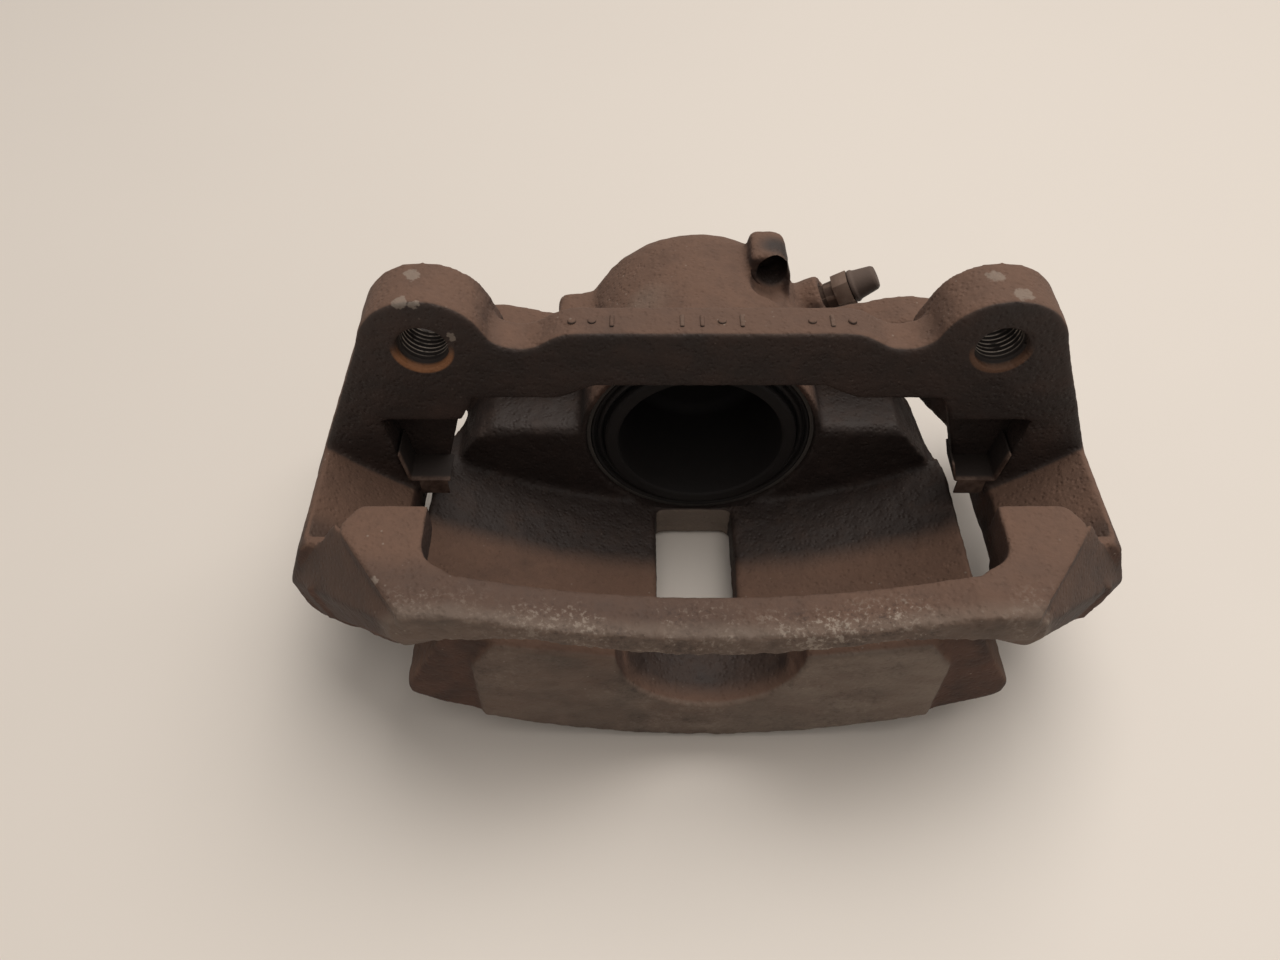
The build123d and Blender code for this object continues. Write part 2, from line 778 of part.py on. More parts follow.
# ---------------------------------------------------------------- bleeder
with BuildPart() as bleeder_screw:
    # Threaded body with its cone, neck, hexagon and nipple, outwards along the bleeder's axis.
    with BuildSketch(bleeder_plane.offset(bleeder_boss_end + 1)):
        Circle(bleeder_thread_radius - running_clearance)
    extrude(amount=bleeder_seat + 3 - bleeder_boss_end - 1)
    with BuildSketch(bleeder_plane.offset(bleeder_seat + 3)):
        Circle(bleeder_thread_radius - running_clearance)
    with BuildSketch(bleeder_plane.offset(bleeder_seat + 0.1)):
        Circle(1.2)
    loft()
    with BuildSketch(bleeder_plane.offset(bleeder_boss_end + 1)):
        Circle(shoulder_radius)
    extrude(amount=hex_stand_off - 1)
    hex_start = bleeder_boss_end + hex_stand_off
    with BuildSketch(bleeder_plane.offset(hex_start)):
        RegularPolygon(bleeder_hexagon / 2, 6, major_radius=False)
    extrude(amount=bleeder_hex_length)
    nipple_start = hex_start + bleeder_hex_length
    with BuildSketch(bleeder_plane.offset(nipple_start)):
        Circle(nipple_radius)
    extrude(amount=nipple_length)
    with BuildSketch(bleeder_plane.offset(nipple_start + nipple_length)):
        Circle(passage_radius)
    extrude(amount=-nipple_length - bleeder_hex_length - 4, mode=Mode.SUBTRACT)
bleeder_screw.part.label = "bleeder_screw"
export_step(bleeder_screw.part, "parts/bleeder_screw.step")

with BuildPart() as bleeder_cap:
    # Collar against the hexagon, then a tapered rubber cap over the nipple.
    cap_start = nipple_start + cap_clearance
    cap_end = nipple_start + nipple_length + 2
    with BuildSketch(bleeder_plane.offset(cap_start)):
        Circle(cap_collar_radius)
    extrude(amount=1.6)
    with BuildSketch(bleeder_plane.offset(cap_start + 1.6)):
        Circle(cap_collar_radius - 0.5)
    with BuildSketch(bleeder_plane.offset(cap_end)):
        Circle(cap_tip_radius)
    loft()
    with BuildSketch(bleeder_plane.offset(cap_start)):
        Circle(nipple_radius + cap_clearance)
    extrude(amount=nipple_length, mode=Mode.SUBTRACT)
bleeder_cap.part.label = "bleeder_cap"
export_step(bleeder_cap.part, "parts/bleeder_cap.step")

# ---------------------------------------------------------------- pad clips
pocket_floor_y = -ear_thickness + pocket_depth
for side, sign in (("left", -1), ("right", 1)):
    with BuildPart() as pad_clip:
        # Sheet on the pocket's lower ledge, turned up at its outer end. The right clip also
        # keeps the flange at its inner end.
        half = clip_sheet / 2
        floor_z = pocket_bottom_z + half
        wall_x = pocket_outer_x - half
        if side == "right":
            inner_end = [(clip_inner_x - 2, floor_z + 7), (clip_inner_x, floor_z)]
        else:
            inner_end = [(-clip_inner_x, floor_z)]
        with BuildSketch(facing_outboard(pocket_floor_y)):
            with BuildLine() as path:
                FilletPolyline(
                    *inner_end,
                    (sign * (wall_x - 3.6), floor_z),
                    (sign * (wall_x - 2.2), floor_z + 11),
                    radius=1.0,
                )
            trace(path.edges(), line_width=clip_sheet)
        extrude(amount=pocket_depth + clip_overhang)

        # Lip bent down over the ledge's front.
        lip_back_y = -ear_thickness - clip_overhang + clip_sheet
        with BuildSketch(facing_outboard(lip_back_y)):
            with Locations((sign * clip_lip_x, pocket_bottom_z + clip_sheet - clip_lip_drop / 2)):
                Rectangle(clip_lip_width, clip_lip_drop)
        extrude(amount=clip_sheet)
    pad_clip.part.label = f"pad_clip_{side}"
    export_step(pad_clip.part, f"parts/pad_clip_{side}.step")
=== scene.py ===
"""Brake caliper in its bracket: cast surfaces, threads, rubber, steel and their finishes.

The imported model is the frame. The two castings and the soft parts are replaced by finer meshes
made from the same shapes, and every other node keeps its shape and gets a finish of its own.
"""
from __future__ import annotations

import json
import logging
import math
from dataclasses import dataclass
from enum import Enum
from typing import Callable

import bpy
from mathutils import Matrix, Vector

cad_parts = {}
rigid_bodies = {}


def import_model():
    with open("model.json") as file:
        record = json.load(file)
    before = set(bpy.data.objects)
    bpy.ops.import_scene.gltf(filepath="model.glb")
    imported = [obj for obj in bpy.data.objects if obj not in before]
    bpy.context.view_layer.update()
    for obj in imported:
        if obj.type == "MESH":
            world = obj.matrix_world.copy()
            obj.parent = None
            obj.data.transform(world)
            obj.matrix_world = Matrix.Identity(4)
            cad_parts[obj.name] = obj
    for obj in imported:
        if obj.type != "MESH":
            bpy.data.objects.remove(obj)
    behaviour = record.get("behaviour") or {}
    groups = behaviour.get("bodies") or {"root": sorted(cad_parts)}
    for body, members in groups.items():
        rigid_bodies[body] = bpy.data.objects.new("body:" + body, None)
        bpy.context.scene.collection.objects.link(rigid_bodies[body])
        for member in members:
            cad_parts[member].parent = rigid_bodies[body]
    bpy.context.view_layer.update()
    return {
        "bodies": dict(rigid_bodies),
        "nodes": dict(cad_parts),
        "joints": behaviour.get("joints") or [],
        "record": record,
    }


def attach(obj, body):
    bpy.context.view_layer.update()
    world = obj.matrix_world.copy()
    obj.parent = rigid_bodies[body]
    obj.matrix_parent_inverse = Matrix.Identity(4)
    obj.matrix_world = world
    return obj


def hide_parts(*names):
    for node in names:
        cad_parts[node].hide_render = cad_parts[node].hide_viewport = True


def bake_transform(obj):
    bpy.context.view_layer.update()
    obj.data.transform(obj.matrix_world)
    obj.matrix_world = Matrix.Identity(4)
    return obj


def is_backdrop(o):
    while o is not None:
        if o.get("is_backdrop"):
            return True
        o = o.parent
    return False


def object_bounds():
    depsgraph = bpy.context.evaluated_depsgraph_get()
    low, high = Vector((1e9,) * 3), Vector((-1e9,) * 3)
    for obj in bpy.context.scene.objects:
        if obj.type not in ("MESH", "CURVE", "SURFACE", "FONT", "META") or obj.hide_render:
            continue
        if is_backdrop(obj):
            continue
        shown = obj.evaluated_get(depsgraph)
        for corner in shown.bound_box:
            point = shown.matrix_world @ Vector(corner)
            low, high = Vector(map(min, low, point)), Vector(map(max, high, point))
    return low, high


MM = 0.001
LOG = logging.getLogger("caliper")
INBOARD = Vector((0.0, 1.0, 0.0))
BLACK = (0.0, 0.0, 0.0)
WARM_LIGHT = (1.0, 0.955, 0.90)
# Pale chips on the bracket: x, y, z and radius in millimetres.
CHIPS = (
    (-74.0, -5.3, 15.0, 2.3), (-76.0, -14.8, 15.0, 2.2), (-72.0, -15.8, 14.6, 1.4), (69.0, -5.5, 15.0, 2.5),
    (74.5, -12.5, 15.0, 2.6), (-80.6, -70.0, -22.5, 1.6), (-64.0, -16.0, 4.0, 1.2),
)


# ------------------------------------------------------------------ shader expressions
class Graph:
    """A material's node tree, with one method for every node.

    Args:
        name: Name of the material that is made.
    """

    def __init__(self, name: str) -> None:
        self.material = bpy.data.materials.new(name)
        self.material.use_nodes = True
        self.tree = self.material.node_tree
        self.shader = self.tree.nodes["Principled BSDF"]

    def node(self, kind: str, settings: dict | None = None, **sockets: object) -> bpy.types.Node:
        """Adds a node.

        Args:
            kind: Node type without its ShaderNode prefix.
            settings: Properties that are set before the sockets; "stops" fills a ramp.
            sockets: Values or links by socket name, with _ for a space, or s0, s1 by place.

        Returns:
            The new node.
        """
        made = self.tree.nodes.new("ShaderNode" + kind)
        for key, value in (settings or {}).items():
            if key == "stops":
                self._fill_ramp(made.color_ramp, value)
            else:
                setattr(made, key, value)
        for key, value in sockets.items():
            by_place = key[0] == "s" and key[1:].isdigit()
            socket = made.inputs[int(key[1:])] if by_place else made.inputs[key.replace("_", " ")]
            self.feed(socket, value)
        return made

    @staticmethod
    def _fill_ramp(ramp: bpy.types.ColorRamp, stops: list[tuple[float, float]]) -> None:
        """Sets a ramp's stops from (position, grey) pairs."""
        while len(ramp.elements) < len(stops):
            ramp.elements.new(1.0)
        for element, (place, grey) in zip(ramp.elements, stops):
            element.position = place
            element.color = (grey, grey, grey, 1.0)

    def feed(self, socket: bpy.types.NodeSocket, value: object) -> None:
        """Links a Field or another node's socket to a socket, or sets a plain value on it."""
        if isinstance(value, Field):
            self.tree.links.new(value.socket, socket)
        elif isinstance(value, bpy.types.NodeSocket):
            self.tree.links.new(value, socket)
        elif isinstance(value, tuple) and len(value) == 3 and socket.type == "RGBA":
            socket.default_value = (*value, 1.0)
        else:
            socket.default_value = value

    def field(self, socket: bpy.types.NodeSocket) -> Field:
        """Wraps an output socket for use in expressions."""
        return Field(self, socket)

    def place(self) -> tuple[Field, Field, Field]:
        """Object coordinates in metres as three fields."""
        split = self.node("SeparateXYZ", s0=self.node("TexCoord").outputs["Object"])
        return tuple(self.field(split.outputs[axis]) for axis in "XYZ")

    def facing(self) -> tuple[Field, Field, Field]:
        """The surface's own direction as three fields."""
        split = self.node("SeparateXYZ", s0=self.node("TexCoord").outputs["Normal"])
        return tuple(self.field(split.outputs[axis]) for axis in "XYZ")

    def noise(self, scale: float, detail: float = 4.0, roughness: float = 0.55, stretch=None) -> Field:
        """Noise on object coordinates.

        Args:
            scale: Cells per metre.
            detail: Octaves.
            roughness: Weight of the finer octaves.
            stretch: Three factors on the coordinates, or None.

        Returns:
            A field about 0.5.
        """
        where = self.node("TexCoord").outputs["Object"]
        if stretch:
            where = self.node("Mapping", Vector=where, Scale=stretch).outputs[0]
        made = self.node("TexNoise", Vector=where, Scale=scale, Detail=detail, Roughness=roughness)
        return self.field(made.outputs["Fac"])

    def cells(self, scale: float, randomness: float = 1.0) -> Field:
        """Distance to the nearest of a scatter of points, for pits and specks."""
        where = self.node("TexCoord").outputs["Object"]
        made = self.node("TexVoronoi", Vector=where, Scale=scale, Randomness=randomness)
        return self.field(made.outputs["Distance"])

    def none(self) -> Field:
        """Zero everywhere."""
        return self.field(self.node("Value").outputs[0])

    def away_from(self, x: float, y: float, z: float) -> Field:
        """Distance in metres from a place given in millimetres."""
        where = self.node("TexCoord").outputs["Object"]
        made = self.node("VectorMath", {"operation": "DISTANCE"}, s0=where, s1=(x * MM, y * MM, z * MM))
        return self.field(made.outputs["Value"])

    def edges(self) -> Field:
        """Above 0.5 on convex edges and below it in hollows."""
        return self.field(self.node("NewGeometry").outputs["Pointiness"])

    def colour(self, mask: Field, under: object, over: object) -> bpy.types.NodeSocket:
        """Lays one colour over another by a mask and returns the mixed colour's socket."""
        return self.node("Mix", {"data_type": "RGBA"}, s0=mask, s6=under, s7=over).outputs[2]

    def bump(self, height: Field, depth: float, strength: float = 1.0, under: object = None) -> object:
        """A bump of the given depth in metres, over another bump if one is given."""
        made = self.node("Bump", Height=height, Distance=depth, Strength=strength)
        if under is not None:
            self.feed(made.inputs["Normal"], under)
        return made.outputs[0]

    def finish(self, **sockets: object) -> bpy.types.Material:
        """Feeds the Principled shader's sockets and returns the material."""
        for key, value in sockets.items():
            self.feed(self.shader.inputs[key.replace("_", " ")], value)
        return self.material


@dataclass(frozen=True)
class Field:
    """A shader number that takes part in Python expressions."""

    graph: Graph
    socket: bpy.types.NodeSocket

    def _maths(self, operation: str, first: object, second: object) -> Field:
        """Adds one Math node and wraps its result."""
        made = self.graph.node("Math", {"operation": operation}, s0=first, s1=second)
        return Field(self.graph, made.outputs[0])

    def __add__(self, other: object) -> Field:
        """Sum."""
        return self._maths("ADD", self, other)

    __radd__ = __add__

    def __sub__(self, other: object) -> Field:
        """Difference."""
        return self._maths("SUBTRACT", self, other)

    def __rsub__(self, other: object) -> Field:
        """Difference, the other way round."""
        return self._maths("SUBTRACT", other, self)

    def __mul__(self, other: object) -> Field:
        """Product."""
        return self._maths("MULTIPLY", self, other)

    __rmul__ = __mul__

    def __pow__(self, other: object) -> Field:
        """Power."""
        return self._maths("POWER", self, other)

    def least(self, other: object) -> Field:
        """The lower of the two."""
        return self._maths("MINIMUM", self, other)

    def most(self, other: object) -> Field:
        """The higher of the two."""
        return self._maths("MAXIMUM", self, other)

    def size(self) -> Field:
        """The value without its sign."""
        return self._maths("ABSOLUTE", self, 0.0)

    def step(self, low: float, high: float) -> Field:
        """0 below low, 1 above high and smooth between; low may be the greater."""
        made = self.graph.node(
            "MapRange", {"interpolation_type": "SMOOTHSTEP"}, Value=self, From_Min=low, From_Max=high
        )
        return Field(self.graph, made.outputs[0])

    def band(self, centre: float, half: float, soft: float) -> Field:
        """1 within half of centre, fading to 0 over soft."""
        return (self - centre).size().step(half + soft, half)


# ------------------------------------------------------------------ finishes
@dataclass(frozen=True)
class CastIron:
    """Rusty sand-cast iron under dust, lighter on top partly as painted light, with black dirt and painted
    shade on the sheltered faces.

    Args:
        name: Material name.
        grime_and_shade: Colour of the black faces.
        rust: Colour of the bare, evenly rusted skin.
        dust: Colour of the dust on faces that look up.
        film: Colour of the even grey film.
        scab: Colour of the pale, flaking scale.
        scabs: How much of the exposed skin the scale covers.
    """
    # grime: Colour of the black faces, for dirt and for painted shade.

    name: str
    grime_and_shade: tuple[float, float, float] = (0.023, 0.0142, 0.0116)
    rust: tuple[float, float, float] = (0.112, 0.056, 0.038)
    # dust: Colour of the dust on faces that look up, which also paints them lighter as light from above.
    dust: tuple[float, float, float] = (0.185, 0.104, 0.071)
    film: tuple[float, float, float] = (0.185, 0.142, 0.112)
    scab: tuple[float, float, float] = (0.30, 0.245, 0.20)
    scabs: float = 0.5

    def soot_and_shade(self, graph: Graph) -> Field:
        """Where the casting is black, as dirt and painted shade: 1 fully, 0 not at all. Each casting has its
        own places.
        """
        return graph.none()

    def scale(self, graph: Graph) -> Field:
        """Where the pale scale lies in clusters."""
        return graph.none()

    def chalk(self, graph: Graph) -> Field:
        """How strong the even grey film is."""
        return graph.none()

    def marks(self, graph: Graph, skin: bpy.types.NodeSocket) -> bpy.types.NodeSocket:
        """Lays single stains and chips over the skin; overridden by each casting's finish."""
        return skin

    def material(self) -> bpy.types.Material:
        """Builds the material."""
        graph = Graph(self.name)
        _, _, facing_z = graph.facing()
        broad = graph.noise(28.0, 3.0)
        patchy = graph.noise(110.0, 5.0, 0.6)
        grain = graph.noise(520.0, 4.0, 0.65)
        pits = graph.cells(620.0)
        edge = graph.edges()

        # Faces that look up get the dust colour: dust, and painted light from above.
        faces_up = facing_z.step(-0.1, 0.75)
        skin = graph.colour((broad * 0.9 + patchy * 0.6).step(0.35, 0.95), self.grime_and_shade, self.rust)
        dust_and_top_light = (faces_up * (0.55 + patchy * 0.75) + (broad - 0.5) * 0.5).step(0.15, 0.95)
        skin = graph.colour(dust_and_top_light, skin, self.dust)
        # Black dirt and painted shade over the skin, at each casting's own places.
        soot_and_shade = (self.soot_and_shade(graph) * (1.25 - patchy * 0.5)).least(1.0)
        skin = graph.colour(soot_and_shade * 0.96, skin, self.grime_and_shade)
        mottle = (grain * 0.7 + patchy * 0.5 - 0.1).least(1.0)
        skin = graph.colour(0.42 + (soot_and_shade * -0.25), skin, graph.colour(mottle, BLACK, skin))
        streak = graph.noise(90.0, 4.0, 0.7, (0.6, 1.0, 1.6))
        skin = graph.colour(self.chalk(graph) * (patchy * 0.7 + streak * 1.6 - 0.25), skin, self.film)
        cluster = self.scale(graph) * graph.noise(42.0, 3.0).step(0.38, 0.58)
        crust = graph.noise(780.0, 4.0, 0.7) * 0.8 + patchy * 0.4
        flaked = cluster * crust.step(0.62, 0.74)
        pocked = cluster * crust.step(0.56, 0.48)
        skin = graph.colour(flaked * self.scabs * 1.8, skin, self.scab)
        skin = graph.colour(pocked * 0.5, skin, self.grime_and_shade)
        specks = graph.cells(330.0).step(0.13, 0.06) * graph.noise(55.0, 2.0).step(0.50, 0.62)
        skin = graph.colour(specks * 0.5 * (1 - soot_and_shade * 0.75), skin, self.scab)
        rubbed = edge.step(0.53, 0.60) * patchy.step(0.4, 0.62)
        skin = graph.colour(rubbed * 0.35, skin, self.film)
        hollow = edge.step(0.490, 0.43)
        skin = graph.colour(hollow * 0.7, skin, self.grime_and_shade)
        skin = self.marks(graph, skin)

        rough = 0.78 + patchy * 0.2 - soot_and_shade * 0.22
        relief = graph.bump(grain, 0.0006, 0.55)
        relief = graph.bump(pits.step(0.0, 0.5), 0.0004, 0.5, relief)
        relief = graph.bump(patchy, 0.0012, 0.5, relief)
        return graph.finish(Base_Color=skin, Roughness=rough, Normal=relief, Metallic=0.0)


@dataclass(frozen=True)
class BracketIron(CastIron):
    """Cast iron of the bracket: black front plate with painted shade, pitted tie bar, rusty rims on the
    holes, painted shade in the holes and pockets.
    """

    hole_x: float = 72.5
    orange: tuple[float, float, float] = (0.25, 0.105, 0.042)

    def soot_and_shade(self, graph: Graph) -> Field:
        """Black dirt with painted shade on the plate's outboard face, painted shade in its holes and
        pockets; thin on the tie bar and, as painted shade, on the arms' outward sides.
        """
        across, along, height = graph.place()
        facing_x, facing_y, facing_z = graph.facing()
        mottle = graph.noise(75.0, 4.0, 0.6)
        reach = along + (mottle - 0.5) * 0.016
        # Outboard faces of the plate: black dirt with painted shade.
        plate = facing_y.step(-0.15, -0.75) * reach.step(-0.034, -0.024) * (1.12 - mottle * 0.45)
        tie = along.step(-0.060, -0.069) * facing_z.step(0.3, 0.8) * (0.18 + across.step(0.035, 0.0) * 0.30)
        tie = tie.most(height.band(0.005, 0.003, 0.002) * along.step(-0.018, -0.012) * 0.22)
        outward = facing_x.size().step(0.35, 0.6)
        # Painted shade on the outward sides of the low arms.
        shaded_sides = height.step(-0.018, -0.034) * along.band(-0.060, 0.016, 0.008) * outward * 0.6
        # Painted shade in the pad pockets.
        pocket = along.band(-0.0100, 0.0052, 0.0006) * across.size().band(0.0725, 0.0165, 0.001)
        pocket = pocket * height.band(-0.038, 0.0128, 0.001)
        # The mounting holes are painted black inside as shade.
        return plate.most(tie).most(shaded_sides).most(pocket * 0.95).most(self.by_hole(graph).step(0.0070, 0.0066))

    def by_hole(self, graph: Graph) -> Field:
        """Distance from the axis of the nearer mounting hole."""
        across, along, height = graph.place()
        beside = across.size() - self.hole_x * MM
        return (beside * beside + height * height) ** 0.5

    def scale(self, graph: Graph) -> Field:
        """Scale on the tie bar, most of it right of its middle and along its front."""
        across, along, _ = graph.place()
        return along.step(-0.068, -0.076) * (0.55 + across.band(0.015, 0.030, 0.030) * 0.45)

    def chalk(self, graph: Graph) -> Field:
        """Grey film on the tie bar's front."""
        _, along, _ = graph.place()
        return along.step(-0.074, -0.0785) * 0.55

    def marks(self, graph: Graph, skin: bpy.types.NodeSocket) -> bpy.types.NodeSocket:
        """Orange rust on the holes' lower rims and pale chips on the ears and the left post."""
        across, along, height = graph.place()
        ring = self.by_hole(graph).band(0.0070, 0.0006, 0.0007) * along.step(-0.0135, -0.0150)
        low = height.step(0.002, -0.004)
        left = 0.35 + across.step(0.0, -0.05) * 0.65
        skin = graph.colour(ring * low * left, skin, self.orange)
        ragged = (graph.noise(420.0, 3.0) - 0.5) * 0.0045
        for x, y, z, size in CHIPS:
            chip = (graph.away_from(x, y, z) + ragged).step(size * MM, size * 0.7 * MM)
            skin = graph.colour(chip * 0.55, skin, self.scab)
        return skin


@dataclass(frozen=True)
class HousingIron(CastIron):
    """Cast iron of the caliper housing, black with brake dust and painted shade inside round the piston."""

    def soot_and_shade(self, graph: Graph) -> Field:
        """Black on the wall round the piston and in the bore, as brake dust with painted shade; painted
        shade in the hose port; the tie bar's painted shadow in the notch behind it.
        """
        across, along, height = graph.place()
        _, facing_y, facing_z = graph.facing()
        # The wall round the piston: brake dust with painted shade.
        wall = along.band(-0.002, 0.018, 0.010) * facing_y.step(0.55, 0.05) * height.step(-0.085, -0.081)
        wall = wall * height.step(-0.030, -0.042)
        # Faces that look up low in the housing, under the piston: brake dust with painted shade.
        throat = along.step(-0.030, -0.004) * along.step(0.055, 0.045) * height.step(-0.052, -0.066)
        # Painted shadow of the tie bar across the notch between the fingers.
        notch = along.step(-0.050, -0.056) * along.step(-0.0750, -0.067) * height.step(-0.060, -0.064)
        notch = notch * across.band(0.0, 0.0235, 0.001) * 0.9
        # The low floor near the wall: brake dust with painted shade.
        floor = along.step(-0.026, -0.011) * height.step(-0.050, -0.058) * across.band(0.0, 0.056, 0.016)
        # Painted shade in the hose port and round its seat.
        port = graph.away_from(21.5, 43.0, -18.3).step(0.0085, 0.0060)
        throat = throat * facing_z.step(0.0, 0.6) * height.step(-0.0835, -0.0815)
        return wall.most(throat).most(notch).most(port).most(floor)

    def scale(self, graph: Graph) -> Field:
        """Scale on the finger faces."""
        _, along, _ = graph.place()
        return along.step(-0.0725, -0.0745) * 0.6

    def chalk(self, graph: Graph) -> Field:
        """Grey film on the finger faces, in the window and in a patch on the cylinder."""
        across, along, height = graph.place()
        faces = along.step(-0.0732, -0.0744) * (0.55 + across.step(-0.02, 0.04) * 0.35)
        window = along.band(-0.0025, 0.0012, 0.0005) * height.step(-0.0815, -0.0825)
        window = window * across.band(-0.001, 0.0125, 0.001)
        patch = graph.away_from(-19.0, 25.0, -12.5).step(0.013, 0.004) * 0.55
        return faces.most(patch).most(window * 2.0)


@dataclass(frozen=True)
class Steel:
    """Turned or pressed steel, dulled by age, with stains.

    Args:
        name: Material name.
        metal: Colour of the clean metal.
        stain: Colour of the stains.
        stained: Share of the surface that is stained.
        shine: Roughness of the clean metal.
    """

    name: str
    metal: tuple[float, float, float]
    stain: tuple[float, float, float] = (0.075, 0.045, 0.030)
    stained: float = 0.5
    shine: float = 0.42

    def material(self) -> bpy.types.Material:
        """Builds the material."""
        graph = Graph(self.name)
        patchy = graph.noise(260.0, 5.0, 0.6)
        grain = graph.noise(1400.0, 3.0, 0.6, (1.0, 0.25, 1.0))
        edge = graph.edges()
        dirt = (patchy + (0.5 - grain) * 0.3).step(0.78 - self.stained * 0.6, 0.86 - self.stained * 0.4)
        colour = graph.colour(dirt, self.metal, self.stain)
        bright = tuple(min(c * 1.9, 1.0) for c in self.metal)
        colour = graph.colour(edge.step(0.51, 0.56) * 0.6, colour, bright)
        rough = self.shine + dirt * 0.4 + grain * 0.12
        relief = graph.bump(grain, 0.0001, 0.4)
        relief = graph.bump(patchy, 0.0003, 0.4, relief)
        return graph.finish(Base_Color=colour, Roughness=rough, Normal=relief, Metallic=0.85 - dirt * 0.7)


@dataclass(frozen=True)
class PistonSteel(Steel):
    """Piston caked with brake dust inside; only its open rim still shows metal, laid on the rim's edges as
    bare metal with a painted glint.
    """

    def material(self) -> bpy.types.Material:
        """Builds the material."""
        graph = Graph(self.name)
        _, along, _ = graph.place()
        patchy = graph.noise(180.0, 5.0, 0.6)
        # Bare metal with a painted glint on the rim's convex edges near the open end.
        ridge = graph.edges().step(0.53, 0.60) * along.step(-0.004, -0.0085)
        rim = ridge * (0.35 + patchy * 0.9)
        colour = graph.colour(patchy * 0.7, (0.0065, 0.0045, 0.004), (0.014, 0.010, 0.009))
        colour = graph.colour(rim.least(1.0), colour, self.metal)
        relief = graph.bump(patchy, 0.0003, 0.5)
        return graph.finish(Base_Color=colour, Roughness=0.8 - rim * 0.3, Normal=relief, Metallic=rim * 0.3)


@dataclass(frozen=True)
class ClipSteel(Steel):
    """Spring steel, painted near black as shade where it lies in the pocket, with its tab outside the pocket
    rusty.
    """

    def material(self) -> bpy.types.Material:
        """Builds the material."""
        graph = Graph(self.name)
        _, along, _ = graph.place()
        patchy = graph.noise(260.0, 5.0, 0.6)
        outside = along.step(-0.0150, -0.0165)
        rusty = graph.colour(patchy.step(0.35, 0.65), self.stain, self.metal)
        # Inside the pocket the clip is near black as painted shade; outside it is rusty.
        colour = graph.colour(outside, (0.024, 0.016, 0.013), rusty)
        relief = graph.bump(patchy, 0.0003, 0.5)
        return graph.finish(Base_Color=colour, Roughness=0.62 + patchy * 0.25, Normal=relief, Metallic=0.1)


@dataclass(frozen=True)
class ThreadSteel(Steel):
    """A tapped thread: dark as dirt with painted shade, its crests away from the mouth painted bright as
    light coming through the hole from behind.

    Args:
        hole_x: Place of the hole's axis in metres.
        crest: Radius of the crests in metres.
    """

    hole_x: float = 0.0
    crest: float = 6.05 * MM

    def material(self) -> bpy.types.Material:
        """Builds the material."""
        graph = Graph(self.name)
        across, along, height = graph.place()
        beside = across - self.hole_x
        radius = (beside * beside + height * height) ** 0.5
        light_patches = graph.noise(300.0, 3.0).step(0.30, 0.55)
        # Painted light: crests deeper in the hole are brightened as if lit through the hole from behind;
        # elsewhere dark, as dirt with painted shade.
        bright = radius.step(self.crest + 0.22 * MM, self.crest) * along.step(-0.0135, -0.0095) * light_patches
        colour = graph.colour(bright, (0.022, 0.015, 0.012), self.metal)
        relief = graph.bump(graph.noise(900.0, 3.0), 0.0001, 0.4)
        rough = 0.75 - bright * 0.35
        return graph.finish(Base_Color=colour, Roughness=rough, Normal=relief, Metallic=bright * 0.4)


@dataclass(frozen=True)
class Rubber:
    """Moulded rubber with dust in its surface.

    Args:
        name: Material name.
        rubber: Colour of the clean rubber.
        dust: Colour of the dust.
        dusted: Strength of the dust, 0 to 1.
    """

    name: str
    rubber: tuple[float, float, float]
    dust: tuple[float, float, float] = (0.14, 0.095, 0.07)
    dusted: float = 0.5

    def material(self) -> bpy.types.Material:
        """Builds the material."""
        graph = Graph(self.name)
        _, _, facing_z = graph.facing()
        patchy = graph.noise(240.0, 5.0, 0.6)
        grain = graph.noise(1500.0, 3.0, 0.6)
        lies = (facing_z.step(-0.5, 0.9) * 0.7 + patchy * 0.6 - 0.25).step(0.1, 0.9) * self.dusted
        colour = graph.colour(lies, self.rubber, self.dust)
        relief = graph.bump(grain, 0.0002, 0.4)
        relief = graph.bump(patchy, 0.0003, 0.35, relief)
        return graph.finish(Base_Color=colour, Roughness=0.62 + lies * 0.3, Normal=relief)


@dataclass(frozen=True)
class TableTop:
    """Pale scuffed laminate."""

    name: str = "table_top"
    colour: tuple[float, float, float] = (0.76, 0.70, 0.64)

    def material(self) -> bpy.types.Material:
        """Builds the material."""
        graph = Graph(self.name)
        cloud = graph.noise(5.0, 4.0)
        shade = graph.colour(cloud.step(0.35, 0.7) * 0.25, self.colour, tuple(c * 0.93 for c in self.colour))
        return graph.finish(Base_Color=shade, Roughness=0.42 + cloud * 0.16)


# ------------------------------------------------------------------ modelling helpers
def deselect() -> None:
    """Leaves nothing selected."""
    bpy.ops.object.select_all(action="DESELECT")


def activate(piece: bpy.types.Object) -> None:
    """Selects one piece alone and makes it active."""
    deselect()
    piece.select_set(True)
    bpy.context.view_layer.objects.active = piece


def in_edit_mode(piece: bpy.types.Object, *steps: Callable[[], object]) -> None:
    """Selects all of a piece's mesh and runs operators on it in edit mode."""
    activate(piece)
    bpy.ops.object.mode_set(mode="EDIT")
    bpy.ops.mesh.select_all(action="SELECT")
    for step in steps:
        step()
    bpy.ops.object.mode_set(mode="OBJECT")


def copy_of(name: str, *nodes: str) -> bpy.types.Object:
    """Copies CAD nodes into one piece, with their loose triangles merged.

    Args:
        name: Name of the new piece.
        nodes: Names of the CAD nodes.

    Returns:
        The new piece.
    """
    copies = []
    for node in nodes:
        copy = bpy.data.objects.new(name, FRAME["nodes"][node].data.copy())
        bpy.context.collection.objects.link(copy)
        copy.data.materials.clear()
        in_edit_mode(copy, lambda: bpy.ops.mesh.remove_doubles(threshold=0.002 * MM))
        copies.append(copy)
    deselect()
    for copy in copies:
        copy.select_set(True)
    piece = copies[0]
    bpy.context.view_layer.objects.active = piece
    if len(copies) > 1:
        bpy.ops.object.join()
    return piece


